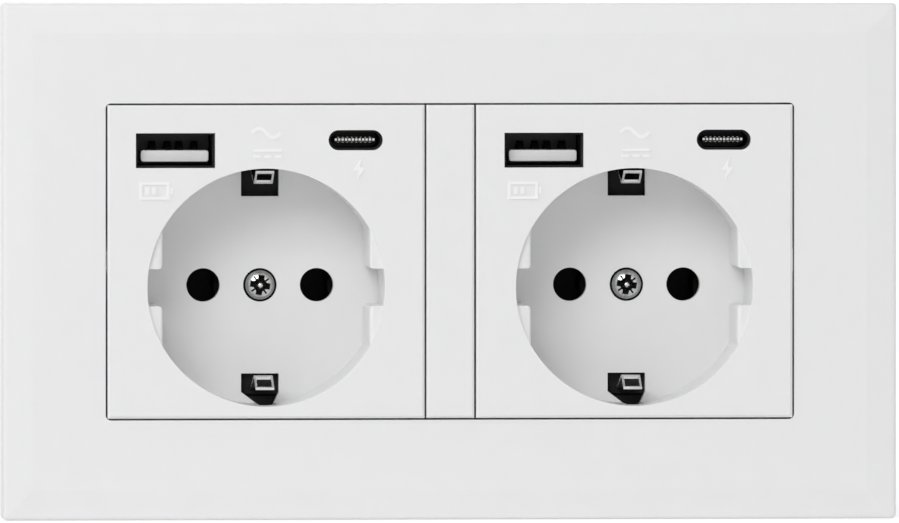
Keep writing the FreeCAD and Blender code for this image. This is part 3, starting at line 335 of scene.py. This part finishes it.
def lathe(profile, across, up, sides=64):
    """A closed mesh turned about Y through (across, up); the profile is (radius, y)."""
    shape = bmesh.new()
    turns = [2 * math.pi * i / sides for i in range(sides)]
    rings = []
    for radius, along in profile:
        if radius == 0:
            rings.append([shape.verts.new((across * MM, along * MM, up * MM))])
            continue
        rings.append([shape.verts.new(((across + radius * math.cos(turn)) * MM, along * MM,
                                       (up + radius * math.sin(turn)) * MM)) for turn in turns])
    for first, second in zip(rings, rings[1:]):
        for i in range(sides):
            j = (i + 1) % sides
            corners = [first[0]] if len(first) == 1 else [first[i], first[j]]
            corners += [second[0]] if len(second) == 1 else [second[j], second[i]]
            shape.faces.new(corners)
    return closed(shape, "lathe")


def joined(*meshes):
    """One mesh holding all the given ones."""
    mesh = bpy.data.meshes.new("joined")
    shape = bmesh.new()
    for source in meshes:
        shape.from_mesh(source)
    shape.to_mesh(mesh)
    shape.free()
    return mesh


def carved(mesh, *cutters):
    """The mesh with the cutters taken out of it."""
    holder = bpy.data.objects.new("holder", mesh)
    bpy.context.scene.collection.objects.link(holder)
    tools = []
    for cutter in cutters:
        tool = bpy.data.objects.new("tool", cutter)
        bpy.context.scene.collection.objects.link(tool)
        tools.append(tool)
        carve = holder.modifiers.new("carve", "BOOLEAN")
        carve.operation = "DIFFERENCE"
        carve.solver = "EXACT"
        carve.object = tool
    result = bpy.data.meshes.new_from_object(holder.evaluated_get(bpy.context.evaluated_depsgraph_get()))
    for item in (holder, *tools):
        bpy.data.objects.remove(item)
    return result


def smoothed(mesh, angle=35):
    """Smooth shading, with creases sharper than the angle kept."""
    mesh.shade_smooth()
    mesh.set_sharp_from_angle(angle=math.radians(angle))
    return mesh


def turned_outline(outline, angle, middle):
    """The outline turned about the origin, then moved to the middle."""
    turn = math.radians(angle)
    return [(middle[0] + (x * math.cos(turn) + z * math.sin(turn)),
             middle[1] + (z * math.cos(turn) - x * math.sin(turn))) for x, z in outline]


def cross_outline(span, width, angle, middle):
    """A cross of two equal bars."""
    half, arm = span / 2, width / 2
    corners = [(arm, half), (-arm, half), (-arm, arm), (-half, arm), (-half, -arm), (-arm, -arm),
               (-arm, -half), (arm, -half), (arm, -arm), (half, -arm), (half, arm), (arm, arm)]
    return turned_outline(corners, angle, middle)


def bar_outline(length, width, angle, middle):
    """A rectangle about its middle."""
    half, arm = length / 2, width / 2
    return turned_outline([(-half, -arm), (half, -arm), (half, arm), (-half, arm)], angle, middle)


def rounded_outline(low, high, radius, steps=6):
    """A rectangle between two corners, with round corners."""
    corners = [(high[0] - radius, high[1] - radius, 0), (low[0] + radius, high[1] - radius, 90),
               (low[0] + radius, low[1] + radius, 180), (high[0] - radius, low[1] + radius, 270)]
    return [(x + radius * math.cos(math.radians(start + 90 * i / steps)),
             z + radius * math.sin(math.radians(start + 90 * i / steps)))
            for x, z, start in corners for i in range(steps + 1)]


def centre_screw(side, across):
    """The screw in the recess: domed head with a cross, painted shade on its outer rim and cross walls, a
    painted highlight on its middle, a bright pip as painted highlight, and a black ring of painted shade
    around the head.
    """
    middle = (across, RECESS_Z)
    dome = [(HEAD_RADIUS * math.sin(math.radians(step)),
             SCREW_TOP + DOME_DEPTH * (1 - math.cos(math.radians(step)))) for step in range(6, 73, 6)]
    blank = lathe([(0, SCREW_TOP), *dome, (2.46, SCREW_TOP + 1.1), (HEAD_RADIUS, SCREW_TOP + DOME_DEPTH),
                   (HEAD_RADIUS, SCREW_SEAT), (SHANK_RADIUS, SCREW_SEAT), (SHANK_RADIUS, SCREW_END),
                   (0, SCREW_END)], *middle)
    cross = prism(cross_outline(CROSS_SPAN, CROSS_WIDTH, CROSS_TURN, middle),
                  SCREW_TOP - CUT_LEAD, SCREW_TOP + CROSS_DEPTH, CROSS_TAPER, middle)
    hub = prism(bar_outline(HUB_SIZE, HUB_SIZE, HUB_TURN, middle),
                SCREW_TOP - CUT_LEAD, SCREW_TOP + HUB_DEPTH, CROSS_TAPER, middle)
    ticks = [prism(bar_outline(TICK_LENGTH, TICK_WIDTH, HUB_TURN + turn, middle),
                   SCREW_TOP - TICK_LEAD, SCREW_TOP + TICK_DEPTH) for turn in (0, 90)]
    mesh = smoothed(carved(blank, cross, hub, *ticks))
    piece = made(f"{side}_centre_screw_head", mesh, screw_steel, "outlet")
    # Painted shade on the head's outer rim and in the cross walls, painted highlight on the middle of the
    # dome.
    mesh.materials.append(painted_shade_black)
    mesh.materials.append(bright_steel)
    for face in mesh.polygons:
        x, y, z = face.center / MM
        away = math.hypot(x - middle[0], z - middle[1])
        surface = SCREW_TOP + DOME_DEPTH * (1 - math.sqrt(max(0.0, 1 - (away / HEAD_RADIUS) ** 2)))
        if away > RIM_REACH or (away < CUT_REACH and surface + SKIN < y < SCREW_TOP + CUT_FLOOR):
            face.material_index = PAINTED_SHADE_FACE
        elif away < HIGHLIGHT_REACH and y < surface + SKIN:
            face.material_index = PAINTED_HIGHLIGHT_FACE
    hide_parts(f"{side}_centre_screw")
    # A bright pip in the middle of the cross: painted highlight.
    pip = lathe([(0, SCREW_TOP + 0.6), (0.55, SCREW_TOP + 0.8), (PIP_RADIUS, SCREW_TOP + PIP_FOOT),
                 (0, SCREW_TOP + PIP_FOOT)], across + PIP_OFFSET[0], RECESS_Z + PIP_OFFSET[1], sides=24)
    made(f"{side}_centre_screw_highlight_pip", smoothed(pip, 60), bright_steel, "outlet")
    # A black ring around the head's seat: painted shade.
    ring = lathe([(HEAD_RADIUS, SHADE_RING_FRONT), (SHADE_RING_RADIUS, SHADE_RING_FRONT), (SHADE_RING_RADIUS, SHADE_RING_BACK),
                  (HEAD_RADIUS, SHADE_RING_BACK), (HEAD_RADIUS, SHADE_RING_FRONT)], *middle)
    made(f"{side}_centre_screw_shade_ring", smoothed(ring), painted_shade_black, "outlet")


def terminal_screw(side, terminal, across):
    """A threaded screw with a flat head, seen from the rear."""
    middle = (across, TERMINAL_Z)
    thread = []
    along = TERMINAL_TIP + THREAD_STEP
    while along < THREAD_END:
        thread += [(THREAD_ROOT, along), (THREAD_CREST, along + THREAD_STEP)]
        along += 2 * THREAD_STEP
    profile = [(0, TERMINAL_TIP), (TIP_RADIUS, TERMINAL_TIP), *thread,
               (NECK_RADIUS, TERMINAL_SEAT - 0.5), (NECK_RADIUS, TERMINAL_SEAT), (3.22, TERMINAL_SEAT),
               (TERMINAL_RADIUS, TERMINAL_SEAT + 0.15), (TERMINAL_RADIUS, TERMINAL_TOP - 0.3),
               (3.1, TERMINAL_TOP - 0.08), (2.9, TERMINAL_TOP), (0, TERMINAL_TOP)]
    blank = lathe(profile, *middle, sides=48)
    slot = prism(bar_outline(SLOT_LENGTH, SLOT_WIDTH, DRIVE_TURN, middle),
                 TERMINAL_TOP + CUT_LEAD, TERMINAL_TOP - SLOT_DEPTH)
    cross = prism(cross_outline(DRIVE_SPAN, DRIVE_WIDTH, DRIVE_TURN, middle),
                  TERMINAL_TOP + CUT_LEAD, TERMINAL_TOP - DRIVE_DEPTH, DRIVE_TAPER, middle)
    mesh = smoothed(carved(blank, slot, cross))
    name = f"{side}_{terminal}_screw"
    piece = made(f"{name}_head", mesh, zinc_steel, name)
    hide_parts(name)


def bent(points, reach, steps=6):
    """The line with each inner corner turned into a short curve."""
    line = [points[0]]
    for before, corner, after in zip(points, points[1:], points[2:]):
        corner = Vector(corner)
        start = corner + (Vector(before) - corner).normalized() * reach
        end = corner + (Vector(after) - corner).normalized() * reach
        for i in range(steps + 1):
            part = i / steps
            line.append(tuple(start * (1 - part) ** 2 + corner * 2 * part * (1 - part) + end * part ** 2))
    return [*line, points[-1]]


def earth_clip(side, across, end, out):
    """A pressed spring finger with a window between its two legs; its outward faces behind the crest carry
    painted shade.
    """
    name = f"{side}_earth_spring_{end}"
    low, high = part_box(name)
    half, tip, foot = (high[0] - low[0]) / 2 / MM, low[1] / MM, high[1] / MM
    course = [(foot, SPRING_ROOT, ROOT_GAUGE), (RECESS_FLOOR, SPRING_ROOT, ROOT_GAUGE),
              (SPRING_CREST_LEVEL, SPRING_CREST, CREST_GAUGE), (tip, SPRING_TIP, TIP_GAUGE)]
    inner = bent([(y, reach) for y, reach, gauge in course], SPRING_BEND)
    outer = bent([(y, reach + gauge) for y, reach, gauge in course], SPRING_BEND)
    outline = [(y, SPRING_MIDDLE + out * reach) for y, reach in inner + outer[::-1]]
    start, stop = tip + WINDOW_TIP, SPRING_CREST_LEVEL - WINDOW_CREST
    window = [(start, -WINDOW_REACH), (stop, -WINDOW_REACH), (stop, WINDOW_REACH), (start, WINDOW_REACH)]
    mesh = carved(crosswise(outline, across - half, across + half),
                  crosswise(window, across - half + WINDOW_LEG, across + half - WINDOW_LEG))
    piece = made(f"{name}_strip", smoothed(mesh, 30), bright_steel, name)
    # Outward faces behind the crest in near-black steel: painted shade.
    mesh.materials.append(dark_steel)
    for face in mesh.polygons:
        outwards = out * face.normal.z > 0.5
        face.material_index = int(face.center.y / MM > SHANK_SHADE_START and outwards)
    bevelled(piece, 0.05, 2, MADE_ANGLE)
    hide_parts(name)


def type_a_tongue(side, across):
    """The white tongue with round corners, on the block that fills the receptacle's rear; its material
    turns black behind the tongue as painted shade.
    """
    name = f"{side}_usb_a_tongue"
    low, high = ([number / MM for number in corner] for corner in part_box(name))
    middle, level = across - USB_A_PLACE, USB_A_TONGUE_TOP
    tongue = rounded_outline((middle - TONGUE_HALF_WIDTH, level - TONGUE_HEIGHT),
                             (middle + TONGUE_HALF_WIDTH, level), TONGUE_CORNER)
    block = rounded_outline((low[0], low[2]), (high[0], high[2]), BLOCK_CORNER)
    mesh = joined(prism(tongue, low[1], USB_BLOCK_FRONT), prism(block, USB_BLOCK_FRONT, high[1]))
    piece = made(f"{name}_moulding", smoothed(mesh, 30), white_insulator, "outlet")
    bevelled(piece, 0.12, 3, MADE_ANGLE)
    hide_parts(name)


def contact_glint_teeth(side, across):
    """The front ends of the type C contacts, drawn larger and in bright steel as a painted highlight of
    their glint.
    """
    first = across + USB_C_PLACE - TEETH_REACH
    teeth = [prism(bar_outline(TOOTH_SIZE, TOOTH_SIZE, 0, (first + TOOTH_PITCH * i, USB_C_LEVEL + 0.06)),
                   USB_C_TONGUE_FRONT - 0.1, USB_C_TONGUE_FRONT + 0.6) for i in range(TEETH)]
    made(f"{side}_type_c_glint_teeth", joined(*teeth), bright_steel, "outlet")


for side, place in MODULES.items():
    centre_screw(side, place)
    earth_clip(side, place, "top", 1)
    earth_clip(side, place, "bottom", -1)
    type_a_tongue(side, place)
    contact_glint_teeth(side, place)
    for terminal, offset in TERMINALS.items():
        terminal_screw(side, terminal, place + offset)


def stroke(points, width):
    """A flat line of even width along the points."""
    left, right = [], []
    for i, (x, z) in enumerate(points):
        before, after = points[max(i - 1, 0)], points[min(i + 1, len(points) - 1)]
        along = Vector((after[0] - before[0], after[1] - before[1])).normalized()
        left.append((x - along.y * width / 2, z + along.x * width / 2))
        right.append((x + along.y * width / 2, z - along.x * width / 2))
    return left + right[::-1]


def wave_mark(x, z):
    """Alternating current."""
    points = [(x - WAVE_WIDTH / 2 + WAVE_WIDTH * i / WAVE_STEPS,
               z + WAVE_HEIGHT * math.sin(2 * math.pi * i / WAVE_STEPS)) for i in range(WAVE_STEPS + 1)]
    return [stroke(points, WAVE_STROKE)]


def direct_mark(x, z):
    """Direct current: a bar over three dashes."""
    dashes = [bar_outline(1.2, 0.45, 0, (x + step * 1.75, z - 0.5)) for step in (-1, 0, 1)]
    return [bar_outline(4.7, 0.45, 0, (x, z + 0.5)), *dashes]


def bolt_mark(x, z):
    """A plain lightning bolt."""
    corners = [(0.35, 1.7), (-1.0, -0.25), (-0.1, -0.25), (-0.35, -1.7), (1.0, 0.25), (0.1, 0.25)]
    return [[(x + a, z + b) for a, b in corners]]


def earth_mark(x, z):
    """Earth sign: a stem over three bars that shorten downwards."""
    return [bar_outline(0.4, 1.6, 0, (x, z + 0.9)), bar_outline(3.2, 0.4, 0, (x, z)),
            bar_outline(2.1, 0.4, 0, (x, z - 0.8)), bar_outline(1.0, 0.4, 0, (x, z - 1.6))]


def gauge_mark(x, z):
    """The length to strip a wire: a bar between two ends."""
    return [bar_outline(12.0, 0.5, 0, (x, z)), bar_outline(0.5, 2.4, 0, (x - 6, z)),
            bar_outline(0.5, 2.4, 0, (x + 6, z))]


def on_face(outline):
    """The outline as a shape that stands proud of the face."""
    return prism(outline, FACE - MARK_RISE, FACE + MARK_SINK)


def on_rear(outline):
    """The outline as a shape that stands proud of the case's rear, half as high."""
    return prism(outline, CASE_REAR + MARK_RISE / 2, CASE_REAR - MARK_SINK)


def battery_mark(x, z):
    """A battery's outline in one piece, with two cells; these are finished shapes."""
    body, inside = bar_outline(5.0, 2.9, 0, (x, z)), bar_outline(4.1, 2.0, 0, (x, z))
    case = carved(on_face(body), prism(inside, FACE - 1, FACE + 1))
    rest = [bar_outline(0.5, 1.1, 0, (x + 2.8, z)), bar_outline(0.6, 1.2, 0, (x - 1.2, z)),
            bar_outline(0.6, 1.2, 0, (x - 0.1, z))]
    return [case, *[on_face(outline) for outline in rest]]


# The marks' places: across from the middle of the outlet, and up.
FACE_MARKS = ((wave_mark, 0, 21.4), (direct_mark, 0.2, 18.0), (bolt_mark, 15.5, 15.4))
BATTERY_PLACE = (-18.6, 11.8)
REAR_MARKS = ((earth_mark, TERMINALS["earth"], TERMINAL_Z + 7.2),
              (wave_mark, TERMINALS["neutral"], TERMINAL_Z + 6.6),
              (wave_mark, TERMINALS["line"], TERMINAL_Z + 6.6), (gauge_mark, 0, 6.0))

for side, place in MODULES.items():
    outlines = [outline for mark, x, z in FACE_MARKS for outline in mark(place + x, z)]
    mesh = joined(*[on_face(outline) for outline in outlines],
                  *battery_mark(place + BATTERY_PLACE[0], BATTERY_PLACE[1]))
    made(f"{side}_raised_marks", mesh, mark_plastic, "outlet")

for side, place in MODULES.items():
    outlines = [outline for mark, x, z in REAR_MARKS for outline in mark(place + x, z)]
    mesh = joined(*[on_rear(outline) for outline in outlines])
    made(f"{side}_rear_marks", mesh, case_print, "outlet")


def white_to_camera(tree, other):
    """A background that is white to the camera and in reflections, and the other one to all else."""
    path = tree.nodes.new("ShaderNodeLightPath")
    white = tree.nodes.new("ShaderNodeBackground")
    white.inputs["Color"].default_value = WHITE
    share = path.outputs["Is Camera Ray"]
    for ray in ("Is Glossy Ray", "Is Transmission Ray"):
        either = tree.nodes.new("ShaderNodeMath")
        either.operation = "MAXIMUM"
        tree.links.new(share, either.inputs[0])
        tree.links.new(path.outputs[ray], either.inputs[1])
        share = either.outputs[0]
    mix = tree.nodes.new("ShaderNodeMixShader")
    tree.links.new(share, mix.inputs["Fac"])
    tree.links.new(other, mix.inputs[1])
    tree.links.new(white.outputs[0], mix.inputs[2])
    return mix.outputs[0]


world = bpy.data.worlds.new("studio")
bpy.context.scene.world = world
world.use_nodes = True
ambient = world.node_tree.nodes["Background"]
ambient.inputs["Color"].default_value = WHITE
ambient.inputs["Strength"].default_value = AMBIENT
surround = white_to_camera(world.node_tree, ambient.outputs[0])
world.node_tree.links.new(surround, world.node_tree.nodes["World Output"].inputs["Surface"])

floor_mesh = bpy.data.meshes.new("floor")
floor_mesh.from_pydata([(-FLOOR_REACH, -FLOOR_REACH, 0), (FLOOR_REACH, -FLOOR_REACH, 0),
                        (FLOOR_REACH, FLOOR_REACH, 0), (-FLOOR_REACH, FLOOR_REACH, 0)], [], [(0, 1, 2, 3)])
floor = bpy.data.objects.new("floor", floor_mesh)
floor.location.z = FLOOR_Z * MM
bpy.context.scene.collection.objects.link(floor)
floor_white = grained("floor_white", (0.88, 0.88, 0.88), 0.8, 60, 1e-5, tint=greys(0.875, 0.885))
floor_tree = floor_white.node_tree
glow = floor_tree.nodes.new("ShaderNodeEmission")
glow.inputs["Color"].default_value = WHITE
glow.inputs["Strength"].default_value = FLOOR_GLOW
blend = floor_tree.nodes.new("ShaderNodeMixShader")
path = floor_tree.nodes.new("ShaderNodeLightPath")
share = floor_tree.nodes.new("ShaderNodeMath")
share.operation = "MULTIPLY_ADD"
share.inputs[1].default_value = CAMERA_SHARE
share.inputs[2].default_value = GLOW_SHARE
floor_tree.links.new(path.outputs["Is Camera Ray"], share.inputs[0])
floor_tree.links.new(share.outputs[0], blend.inputs["Fac"])
floor_tree.links.new(floor_tree.nodes["Principled BSDF"].outputs[0], blend.inputs[1])
floor_tree.links.new(glow.outputs[0], blend.inputs[2])
floor_tree.links.new(blend.outputs[0], floor_tree.nodes["Material Output"].inputs["Surface"])
floor_mesh.materials.append(floor_white)

for name, (place, size, power) in LAMPS.items():
    light = bpy.data.lights.new(name, "AREA")
    light.shape = "RECTANGLE"
    light.size, light.size_y = size
    light.energy = power
    holder = bpy.data.objects.new(name, light)
    holder.visible_camera = False
    bpy.context.scene.collection.objects.link(holder)
    holder.location = place
    holder.rotation_euler = (-Vector(place)).to_track_quat("-Z", "Y").to_euler()

camera_data = bpy.data.cameras.new("camera")
camera_data.sensor_fit = "HORIZONTAL"
camera_data.sensor_width = SENSOR_WIDTH
camera_data.lens = PIXELS_PER_MM * SENSOR_WIDTH * CAMERA_AWAY / MM / IMAGE_WIDTH
camera_data.clip_start, camera_data.clip_end = 0.1, 20
camera = bpy.data.objects.new("camera", camera_data)
bpy.context.scene.collection.objects.link(camera)
aim = Vector((AIM_ACROSS * MM, FACE * MM, 0))
away = Vector((-math.sin(CAMERA_YAW) * math.cos(CAMERA_RISE), -math.cos(CAMERA_YAW) * math.cos(CAMERA_RISE),
               math.sin(CAMERA_RISE)))
camera.location = aim + away * CAMERA_AWAY
camera.rotation_euler = (-away).to_track_quat("-Z", "Y").to_euler()
bpy.context.scene.camera = camera
bpy.context.scene.view_settings.view_transform = "Standard"
